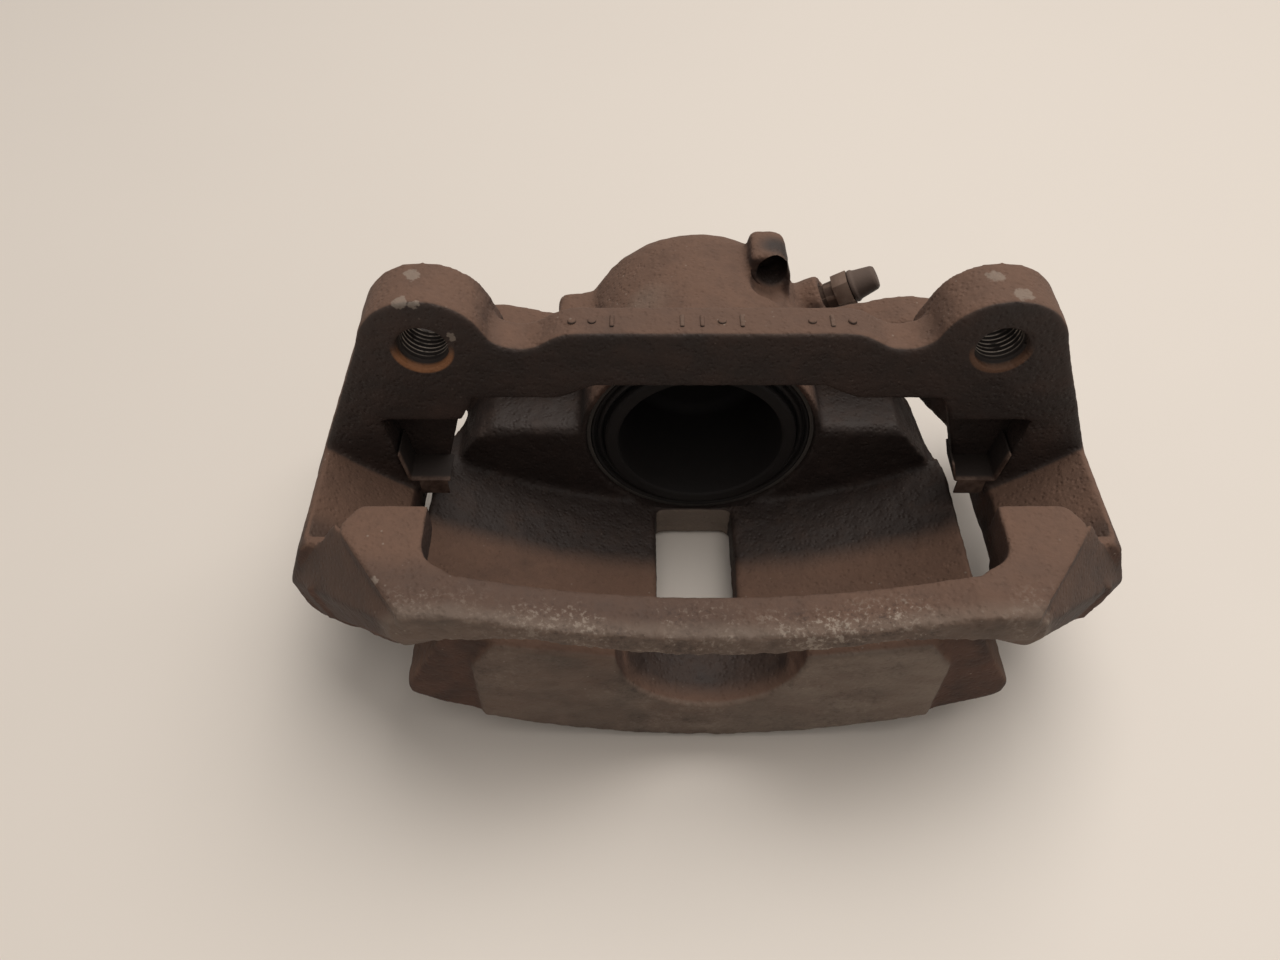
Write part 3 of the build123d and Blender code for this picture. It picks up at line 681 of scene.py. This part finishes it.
def modify(piece: bpy.types.Object, kind: str, **settings: object) -> None:
    """Adds a modifier and applies it.

    Args:
        piece: The piece.
        kind: Modifier type.
        settings: The modifier's properties.
    """
    activate(piece)
    modifier = piece.modifiers.new(kind.lower(), kind)
    for key, value in settings.items():
        setattr(modifier, key, value)
    bpy.ops.object.modifier_apply(modifier=modifier.name)


def settle(piece: bpy.types.Object) -> None:
    """Applies a piece's place, turn and size to its mesh."""
    activate(piece)
    bpy.ops.object.transform_apply(location=True, rotation=True, scale=True)


def weigh(piece: bpy.types.Object, group: str, weight: Callable[[Vector, Vector], float]) -> None:
    """Fills a vertex group from a rule on place and normal.

    Args:
        piece: The piece.
        group: Name of the group.
        weight: Gives 0 to 1 for a vertex's place in millimetres and its normal.
    """
    made = piece.vertex_groups.new(name=group)
    for vertex in piece.data.vertices:
        value = weight(vertex.co / MM, vertex.normal)
        if value > 0.0:
            made.add([vertex.index], min(value, 1.0), "REPLACE")


def roughen(piece: bpy.types.Object, group: str, kind: str, size: float, height: float) -> None:
    """Displaces the surface by a noise where the group's weight is.

    Args:
        piece: The piece.
        group: Vertex group that limits the work, or an empty name for all of the piece.
        kind: Texture type.
        size: Size of the noise's features in metres.
        height: Depth from lowest to highest in metres.
    """
    texture = bpy.data.textures.new(f"{piece.name}_{kind.lower()}_{group}", kind)
    texture.noise_scale = size
    modify(
        piece, "DISPLACE", texture=texture, texture_coords="LOCAL", strength=height,
        mid_level=0.5, vertex_group=group,
    )


def smooth_shade(piece: bpy.types.Object, degrees: float = 40.0) -> None:
    """Shades smoothly, with edges sharper than the angle kept."""
    activate(piece)
    bpy.ops.object.shade_smooth_by_angle(angle=math.radians(degrees))


def dress(piece: bpy.types.Object, material: bpy.types.Material) -> None:
    """Gives a piece one material."""
    piece.data.materials.clear()
    piece.data.materials.append(material)


def mount(piece: bpy.types.Object, body: str, slot: str, *nodes: str) -> None:
    """Rides a new piece on its body, in place of CAD nodes if any are named, and logs it."""
    if nodes:
        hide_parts(*nodes)
    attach(piece, body)
    LOG.info("%s: %d faces on %s", piece.name, len(piece.data.polygons), body)


def cylinder(name: str, radius: float, start: Vector, axis: Vector, length: float) -> bpy.types.Object:
    """A cylinder from a start along an axis, its place applied; used as a cutter."""
    deselect()
    middle = start + axis * length / 2
    bpy.ops.mesh.primitive_cylinder_add(vertices=96, radius=radius, depth=length, location=middle)
    piece = bpy.context.object
    piece.name = name
    piece.rotation_euler = axis.to_track_quat("Z", "Y").to_euler()
    settle(piece)
    return piece


def prism(name: str, corners: list[tuple[float, float]], y_from: float, y_to: float) -> bpy.types.Object:
    """A closed prism along Y with four (x, z) corners in millimetres; used as a cutter."""
    deselect()
    bpy.ops.mesh.primitive_cube_add(size=1.0)
    piece = bpy.context.object
    piece.name = name
    places = {(-1, -1): 0, (1, -1): 1, (1, 1): 2, (-1, 1): 3}
    for vertex in piece.data.vertices:
        x, z = corners[places[(1 if vertex.co.x > 0 else -1, 1 if vertex.co.z > 0 else -1)]]
        vertex.co = Vector((x, y_to if vertex.co.y > 0 else y_from, z)) * MM
    in_edit_mode(piece, lambda: bpy.ops.mesh.normals_make_consistent(inside=False))
    return piece


def cut(piece: bpy.types.Object, tool: bpy.types.Object) -> None:
    """Takes a tool's shape out of a piece and removes the tool."""
    modify(piece, "BOOLEAN", object=tool, operation="DIFFERENCE", solver="MANIFOLD")
    bpy.data.objects.remove(tool, do_unlink=True)


def turned(
    name: str, profile: list[tuple[float, float]], start: Vector, axis: Vector, rounding: float
) -> bpy.types.Object:
    """A closed shape of revolution with rounded corners.

    Args:
        name: Name of the piece.
        profile: Closed (radius, distance along the axis) corners in millimetres.
        start: Where the distance is 0.
        axis: Direction of the axis.
        rounding: Radius of the corners in millimetres.

    Returns:
        The piece, its place applied.
    """
    deselect()
    bpy.ops.mesh.primitive_circle_add(vertices=len(profile), radius=1.0, fill_type="NGON")
    piece = bpy.context.object
    piece.name = name
    for vertex, (radius, along) in zip(piece.data.vertices, profile):
        vertex.co = Vector((radius, 0.0, along)) * MM
    in_edit_mode(
        piece,
        lambda: bpy.ops.mesh.bevel(offset=rounding * MM, segments=3, affect="VERTICES"),
        lambda: bpy.ops.mesh.delete(type="ONLY_FACE"),
    )
    modify(
        piece, "SCREW", axis="Z", angle=math.tau, steps=96, render_steps=96,
        use_merge_vertices=True, merge_threshold=0.001 * MM,
    )
    in_edit_mode(
        piece,
        lambda: bpy.ops.mesh.remove_doubles(threshold=0.005 * MM),
        lambda: bpy.ops.mesh.normals_make_consistent(inside=False),
    )
    piece.rotation_euler = axis.to_track_quat("Z", "Y").to_euler()
    piece.location = start
    settle(piece)
    smooth_shade(piece, 60.0)
    return piece


# ------------------------------------------------------------------ castings
@dataclass
class Casting:
    """A sand-cast body made from CAD nodes: rounded edges, a rough skin, crisp machined faces.

    Args:
        name: Name of the piece.
        nodes: CAD nodes it stands for.
        body: Body it rides on.
        slot: The record's material slot; not used.
        finish: Its finish.
        voxel: Size of the remesh in metres.
        rounds: Smoothing steps, which round the cast edges.
        most_faces: Triangles that it is thinned to.
    """

    name: str
    nodes: tuple[str, ...]
    body: str
    slot: str
    finish: CastIron
    voxel: float = 0.75 * MM
    rounds: int = 11
    most_faces: int = 180000

    def build(self) -> bpy.types.Object:
        """Makes, dresses and mounts the casting."""
        piece = copy_of(self.name, *self.nodes)
        voxel = self.voxel * 1.0
        modify(piece, "REMESH", mode="VOXEL", voxel_size=voxel, use_smooth_shade=True)
        modify(piece, "SMOOTH", factor=0.5, iterations=self.rounds)
        self.weather(piece)
        self.machine(piece)
        self.thin(piece)
        smooth_shade(piece, 50.0)
        dress(piece, self.finish.material())
        mount(piece, self.body, self.slot, *self.nodes)
        return piece

    def thin(self, piece: bpy.types.Object) -> None:
        """Thins the mesh where it is flat, down to the most faces it may have."""
        triangles = 2 * len(piece.data.polygons)
        if triangles > self.most_faces:
            modify(piece, "DECIMATE", ratio=self.most_faces / triangles)

    def weather(self, piece: bpy.types.Object) -> None:
        """Roughens the skin; overridden by each casting."""
        roughen(piece, "", "CLOUDS", 0.006, 0.0005)

    def machine(self, piece: bpy.types.Object) -> None:
        """Cuts what is machined after casting; overridden by each casting."""


class Mark(Enum):
    """Shapes of the raised foundry marks."""

    BAR = "bar"
    DOT = "dot"


@dataclass
class Bracket(Casting):
    """Anchor bracket with two tapped ears, pad pockets, posts and the bowed tie bar."""

    thread_radius: float = 6.65 * MM
    thread_depth: float = 0.62 * MM
    thread_pitch: float = 1.5 * MM
    hole_x: float = 72.5 * MM
    ear_thickness: float = 16.0 * MM
    pocket_y: tuple[float, float] = (-17.5, -7.0)
    pocket: tuple[tuple[float, float], ...] = (
        (58.0, -50.0), (85.0, -50.0), (88.0, -26.0), (58.0, -26.0),
    )

    def weather(self, piece: bpy.types.Object) -> None:
        """Rough skin all over, deep scale on the tie bar and a chipped corner at the left."""
        roughen(piece, "", "CLOUDS", 0.004, 0.0003)
        weigh(piece, "tie", self.on_tie)
        roughen(piece, "tie", "STUCCI", 0.0022, 0.0006)
        roughen(piece, "tie", "CLOUDS", 0.0014, 0.0007)
        corner = Vector((-80.0, -72.0, -52.0))
        weigh(piece, "chip", lambda at, normal: 1.3 - (at - corner).length / 9.0)
        roughen(piece, "chip", "VORONOI", 0.0050, 0.0030)

    @staticmethod
    def on_tie(at: Vector, normal: Vector) -> float:
        """Weight of a place in millimetres on the tie bar, growing towards its front."""
        return (-70.0 - at.y) / 8.0 if at.z < -20.0 and abs(at.x) < 66.0 else 0.0

    def machine(self, piece: bpy.types.Object) -> None:
        """Cuts the two mounting holes and the two pad pockets clean."""
        for side in (-1.0, 1.0):
            mouth = Vector((side * self.hole_x, -self.ear_thickness - 0.005, 0.0))
            cut(piece, cylinder("drill", self.thread_radius, mouth, INBOARD, 0.03))
            cut(piece, self.countersink(Vector((side * self.hole_x, -self.ear_thickness, 0.0))))
            corners = [(side * x, z) for x, z in self.pocket]
            cut(piece, prism("pocket_cutter", corners, *self.pocket_y))

    @staticmethod
    def countersink(mouth: Vector) -> bpy.types.Object:
        """Cone that breaks a mounting hole's edge at its mouth."""
        deselect()
        bpy.ops.mesh.primitive_cone_add(
            vertices=96, radius1=8.3 * MM, radius2=6.0 * MM, depth=2.3 * MM, location=mouth
        )
        tool = bpy.context.object
        tool.rotation_euler = (math.radians(-90.0), 0.0, 0.0)
        settle(tool)
        return tool

    def threads(self) -> None:
        """Makes the helical thread inside each mounting hole."""
        for side, sign in (("left", -1.0), ("right", 1.0)):
            piece = self.thread(f"mount_thread_{side}", sign * self.hole_x)
            # Its metal colour is the painted light on the crests.
            steel = ThreadSteel(f"thread_steel_{side}", (0.62, 0.53, 0.45), hole_x=sign * self.hole_x)
            dress(piece, steel.material())
            mount(piece, self.body, self.slot)

    def thread(self, name: str, x: float) -> bpy.types.Object:
        """One internal thread: a ridge profile screwed along the hole.

        Args:
            name: Name of the piece.
            x: Place of the hole's axis.

        Returns:
            The thread.
        """
        deselect()
        turns = int((self.ear_thickness - 1.5 * MM) / self.thread_pitch) - 1
        bpy.ops.mesh.primitive_circle_add(vertices=3, radius=self.thread_pitch * 0.5, fill_type="NGON")
        piece = bpy.context.object
        piece.name = name
        outer = self.thread_radius + 0.15 * MM
        corners = ((outer, -0.5), (outer, 0.5), (self.thread_radius - self.thread_depth, 0.0))
        for vertex, (radius, share) in zip(piece.data.vertices, corners):
            vertex.co = Vector((radius, 0.0, share * self.thread_pitch * 0.9))
        modify(
            piece, "SCREW", axis="Z", angle=math.tau, screw_offset=self.thread_pitch,
            iterations=turns, steps=48, render_steps=48, use_merge_vertices=True, merge_threshold=0.001 * MM,
        )
        in_edit_mode(
            piece,
            lambda: bpy.ops.mesh.remove_doubles(threshold=0.01 * MM),
            lambda: bpy.ops.mesh.normals_make_consistent(inside=False),
        )
        piece.rotation_euler = (math.radians(90.0), 0.0, 0.0)
        piece.location = (x, -1.5 * MM, 0.0)
        settle(piece)
        smooth_shade(piece, 35.0)
        return piece

    def foundry_marks(self) -> None:
        """Raised marks on the beam's top: a plain pattern of bars and dots."""
        rows = ((-30.0, "dot dot bar"), (0.0, "bar bar dot bar"), (30.0, "dot bar dot"))
        deselect()
        marks = []
        for middle, row in rows:
            shapes = [Mark(word) for word in row.split()]
            for place, shape in enumerate(shapes):
                x = middle + (place - (len(shapes) - 1) / 2) * 5.0
                at = Vector((x, -11.0, 4.7)) * MM
                marks.append(self.mark(shape, at))
        for mark in marks:
            mark.select_set(True)
        bpy.context.view_layer.objects.active = marks[0]
        bpy.ops.object.join()
        piece = bpy.context.object
        piece.name = "foundry_marks"
        dress(piece, self.finish.material())
        mount(piece, self.body, self.slot)

    @staticmethod
    def mark(shape: Mark, at: Vector) -> bpy.types.Object:
        """One raised mark, a bar or a dot, with soft edges."""
        deselect()
        if shape is Mark.DOT:
            bpy.ops.mesh.primitive_cylinder_add(vertices=24, radius=1.1 * MM, depth=1.6 * MM, location=at)
        else:
            bpy.ops.mesh.primitive_cube_add(size=1.0, location=at, scale=(1.1 * MM, 4.4 * MM, 1.6 * MM))
        piece = bpy.context.object
        settle(piece)
        modify(piece, "BEVEL", width=0.35 * MM, segments=2)
        return piece


@dataclass
class Housing(Casting):
    """Caliper housing with its cylinder, bridge, fingers, pin arms, hose lug and bleeder boss."""

    bore_z: float = -51.0
    recess_radius: float = 34.0
    recess_depth: float = 7.0
    port: tuple[float, float] = (21.5, -16.8)
    port_mouth_y: float = 37.5
    port_bottom_y: float = 49.0
    port_radius: float = 4.5
    spot_radius: float = 6.5
    spot_depth: float = 7.0

    def weather(self, piece: bpy.types.Object) -> None:
        """Sandy skin everywhere but in the bore."""
        weigh(piece, "cast", lambda at, normal: 0.0 if self.in_bore(at) else 1.0)
        roughen(piece, "cast", "CLOUDS", 0.005, 0.0005)
        roughen(piece, "cast", "STUCCI", 0.0030, 0.0003)

    def in_bore(self, at: Vector) -> bool:
        """Whether a place in millimetres is on the bored, machined inside."""
        return math.hypot(at.x, at.z - self.bore_z) < self.recess_radius + 1.0 and -3.0 < at.y < 52.0

    def machine(self, piece: bpy.types.Object) -> None:
        """Cuts the boot recess and the hose port clean."""
        centre = Vector((0.0, -2.0, self.bore_z)) * MM
        depth = (self.recess_depth + 2.0) * MM
        cut(piece, cylinder("recess_cutter", self.recess_radius * MM, centre, INBOARD, depth))
        mouth = Vector((self.port[0], self.port_mouth_y, self.port[1])) * MM
        depth = (self.port_bottom_y - self.port_mouth_y) * MM
        cut(piece, cylinder("port_cutter", self.port_radius * MM, mouth, INBOARD, depth))
        cut(piece, cylinder("spot_cutter", self.spot_radius * MM, mouth, -INBOARD, self.spot_depth * MM))


# ------------------------------------------------------------------ turned and pressed parts
@dataclass
class Rubbers:
    """The moulded rubber parts: bellows, piston boot, seal, bushing and bleeder cap."""

    pin_x: float = 97.0
    pin_z: float = -63.0
    piston_z: float = -51.0

    def build(self) -> None:
        """Makes them all."""
        for side, sign in (("left", -1.0), ("right", 1.0)):
            self.guide_boot(side, sign)
        self.piston_boot()
        self.seal()
        self.bushing()
        self.cap()

    def guide_boot(self, side: str, sign: float) -> None:
        """Bellows from the bracket's spigot to the pin's hexagon."""
        profile = [
            (9.0, 2.0), (11.0, 2.0), (11.0, 5.4), (9.3, 6.2), (8.6, 7.2), (10.2, 8.0), (10.2, 8.8),
            (8.4, 9.6), (8.2, 10.3), (9.4, 11.1), (9.2, 12.0), (7.2, 12.8), (7.2, 14.6),
            (5.8, 14.6), (5.8, 12.2), (7.9, 11.4), (7.0, 10.2), (8.9, 8.4), (7.4, 7.1), (8.2, 6.1),
            (9.0, 6.0),
        ]
        start = Vector((sign * self.pin_x, 0.0, self.pin_z)) * MM
        piece = turned(f"guide_bellows_{side}", profile, start, INBOARD, 0.3)
        dress(piece, Rubber(f"guide_rubber_{side}", (0.02, 0.019, 0.018)).material())
        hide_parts(f"guide_boot_{side}")
        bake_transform(piece)
        LOG.info("%s bends between bracket and housing", piece.name)

    def piston_boot(self) -> None:
        """Dust boot between the ring in the recess and the groove in the piston."""
        profile = [
            (26.9, 2.4), (29.0, 2.3), (29.3, 1.6), (30.0, 1.0), (30.7, 1.6), (30.9, 2.9), (31.5, 2.9),
            (31.7, 1.6), (32.3, 1.2), (32.75, 2.0), (32.75, 6.0), (31.6, 6.0), (31.6, 5.4), (31.6, 4.9),
            (31.5, 3.8), (30.9, 3.7), (30.2, 3.0), (30.0, 2.2), (29.8, 3.4), (28.9, 4.6), (26.9, 4.6),
        ]
        start = Vector((0.0, 0.0, self.piston_z)) * MM
        piece = turned("piston_bellows", profile, start, INBOARD, 0.2)
        dress(piece, Rubber("boot_rubber", (0.012, 0.011, 0.011), dusted=0.12).material())
        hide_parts("piston_boot")
        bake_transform(piece)
        LOG.info("%s bends between housing and piston", piece.name)

    def seal(self) -> None:
        """Square seal in the bore's groove, its inner corner rounded."""
        profile = [(28.57, 14.1), (31.45, 14.1), (31.45, 17.9), (28.57, 17.9)]
        start = Vector((0.0, 0.0, self.piston_z)) * MM
        piece = turned("square_seal", profile, start, INBOARD, 0.35)
        dress(piece, Rubber("seal_rubber", (0.02, 0.02, 0.02), dusted=0.1).material())
        mount(piece, "housing", "seal_rubber", "piston_seal")

    def bushing(self) -> None:
        """Ribbed damping sleeve on the right pin's tip."""
        ribs = [(5.42 if step % 2 else 5.1, -37.3 + step * 1.15) for step in range(11)]
        profile = [(4.18, -37.3), *ribs, (4.18, -25.7)]
        start = Vector((self.pin_x, 0.0, self.pin_z)) * MM
        piece = turned("damping_sleeve", profile, start, INBOARD, 0.15)
        dress(piece, Rubber("sleeve_rubber", (0.02, 0.02, 0.02), dusted=0.1).material())
        mount(piece, "housing", "seal_rubber", "guide_pin_bushing")

    @staticmethod
    def cap_seat(axis: Vector) -> Vector:
        """Centre of the cap's open end: the lowest point of its node along the axis, put on the axis."""
        corners = [vertex.co.copy() for vertex in FRAME["nodes"]["bleeder_cap"].data.vertices]
        near = min(corner.dot(axis) for corner in corners)
        mouth = [corner for corner in corners if corner.dot(axis) < near + 0.05 * MM]
        return sum(mouth, Vector()) / len(mouth)

    def cap(self) -> None:
        """Tapered dust cap with a collar and a thumb ring, over the bleeder's nipple."""
        joint = next(j for j in FRAME["joints"] if j["name"] == "cap_pull")
        axis = Vector(joint["axis"])
        start = self.cap_seat(axis)
        profile = [
            (2.6, 0.0), (4.9, 0.0), (5.25, 0.4), (5.25, 1.2), (4.85, 1.7), (4.7, 2.2), (4.45, 3.8),
            (4.05, 6.4), (3.85, 7.5), (3.3, 8.25), (2.0, 8.38), (0.5, 8.39), (0.5, 6.55), (2.6, 6.45),
        ]
        piece = turned("dust_cap", profile, start, axis, 0.25)
        dress(piece, Rubber("cap_rubber", (0.075, 0.053, 0.043), (0.13, 0.088, 0.069), 0.7).material())
        mount(piece, "cap", "cap_rubber", "bleeder_cap")


@dataclass
class SteelPart:
    """A turned or pressed steel part: the CAD shape with its sharp edges broken.

    Args:
        name: Name of the piece.
        node: CAD node it stands for.
        body: Body it rides on.
        slot: The record's material slot; not used.
        finish: Its finish.
        edge: Width of the broken edge in metres.
    """

    name: str
    node: str
    body: str
    slot: str
    finish: Steel
    edge: float = 0.25 * MM

    def build(self) -> None:
        """Makes, dresses and mounts the part."""
        piece = copy_of(self.name, self.node)
        limit = math.radians(35.0)
        modify(piece, "BEVEL", width=self.edge, segments=2, limit_method="ANGLE", angle_limit=limit)
        smooth_shade(piece, 32.0)
        dress(piece, self.finish.material())
        mount(piece, self.body, self.slot, self.node)


# ------------------------------------------------------------------ stage
@dataclass
class Stage:
    """Table, camera and lights."""

    table_z: float = 0.0

    def build(self) -> None:
        """Sets the table, the camera and the lights."""
        deselect()
        bpy.ops.mesh.primitive_plane_add(size=4.0, location=(0.0, 0.6, self.table_z))
        table = bpy.context.object
        table.name = "table"
        dress(table, TableTop().material())
        settle(table)
        table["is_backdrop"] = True
        self.camera()
        self.lights()

    def camera(self) -> None:
        """A camera that looks down at the caliper from the outboard side."""
        data = bpy.data.cameras.new("camera")
        camera = bpy.data.objects.new("camera", data)
        bpy.context.collection.objects.link(camera)
        camera.location = (-0.018, -0.199, 0.1675)
        camera.rotation_euler = (math.radians(40.0), 0.0, 0.0)
        data.sensor_width = 36.0
        data.lens = 27.7
        data.clip_start = 0.01
        bpy.context.scene.camera = camera

    def lights(self) -> None:
        """Broad lamps overhead, a weak fill, and a pale room."""
        for name, place, size, power in (
            ("ceiling", (0.36, 0.46, 1.3), 1.5, 19.5),
            ("near_tube", (0.0, -0.75, 1.3), 1.0, 3.4),
        ):
            data = bpy.data.lights.new(name, "AREA")
            data.size = size
            data.energy = power
            data.color = WARM_LIGHT
            lamp = bpy.data.objects.new(name, data)
            bpy.context.collection.objects.link(lamp)
            lamp.location = place
            aim = Vector((0.0, -0.01, -0.05)) - Vector(place)
            lamp.rotation_euler = aim.to_track_quat("-Z", "Y").to_euler()
        world = bpy.data.worlds.new("room")
        world.use_nodes = True
        world.node_tree.nodes["Background"].inputs["Color"].default_value = (1.0, 0.96, 0.91, 1.0)
        world.node_tree.nodes["Background"].inputs["Strength"].default_value = 0.28
        bpy.context.scene.world = world
        bpy.context.scene.view_settings.view_transform = "Standard"


FRAME: dict = {}


def main() -> None:
    """Builds the caliper round the frame and reports each piece that it mounts on a body."""
    logging.basicConfig(level=logging.INFO, format="%(name)s: %(message)s")
    FRAME.update(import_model())

    slots = {part["node"]: part["material_slot"] for part in FRAME["record"]["subparts"]}
    bracket_nodes = tuple(n for n, slot in slots.items() if slot == "bracket_iron")
    housing_nodes = tuple(n for n, slot in slots.items() if slot == "housing_iron")
    iron = BracketIron("bracket_cast_iron")
    bracket = Bracket("bracket_casting", bracket_nodes, "bracket", "bracket_iron", iron)
    bracket.build()
    bracket.threads()
    bracket.foundry_marks()
    iron = HousingIron("housing_cast_iron", scabs=0.2)
    Housing("housing_casting", housing_nodes, "housing", "housing_iron", iron, voxel=0.9 * MM).build()
    Rubbers().build()

    pin = Steel("pin_steel", (0.45, 0.42, 0.37), stained=0.35)
    bolt = Steel("bolt_steel", (0.36, 0.33, 0.28), stained=0.5)
    ring = Steel("boot_ring_steel", (0.10, 0.09, 0.08), (0.03, 0.022, 0.018), 0.8, 0.55)
    bleeder = Steel("bleeder_steel", (0.15, 0.105, 0.082), (0.085, 0.052, 0.040), 0.6, 0.6)
    clip = ClipSteel("clip_steel", (0.155, 0.10, 0.075), (0.06, 0.032, 0.022), 0.6)
    finishes = {
        "piston": (PistonSteel("piston_steel", (0.16, 0.13, 0.115)), "piston"),
        "boot_ring": (ring, "housing"),
        "guide_pin_left": (pin, "housing"),
        "guide_pin_right": (pin, "housing"),
        "guide_bolt_left": (bolt, "housing"),
        "guide_bolt_right": (bolt, "housing"),
        "bleeder_screw": (bleeder, "bleeder"),
        "pad_clip_left": (clip, "bracket"),
        "pad_clip_right": (clip, "bracket"),
    }
    for node, (finish, body) in finishes.items():
        SteelPart(f"{node}_part", node, body, slots[node], finish).build()

    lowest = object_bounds()[0][2]
    Stage(table_z=lowest).build()


if __name__ == "__main__":
    main()
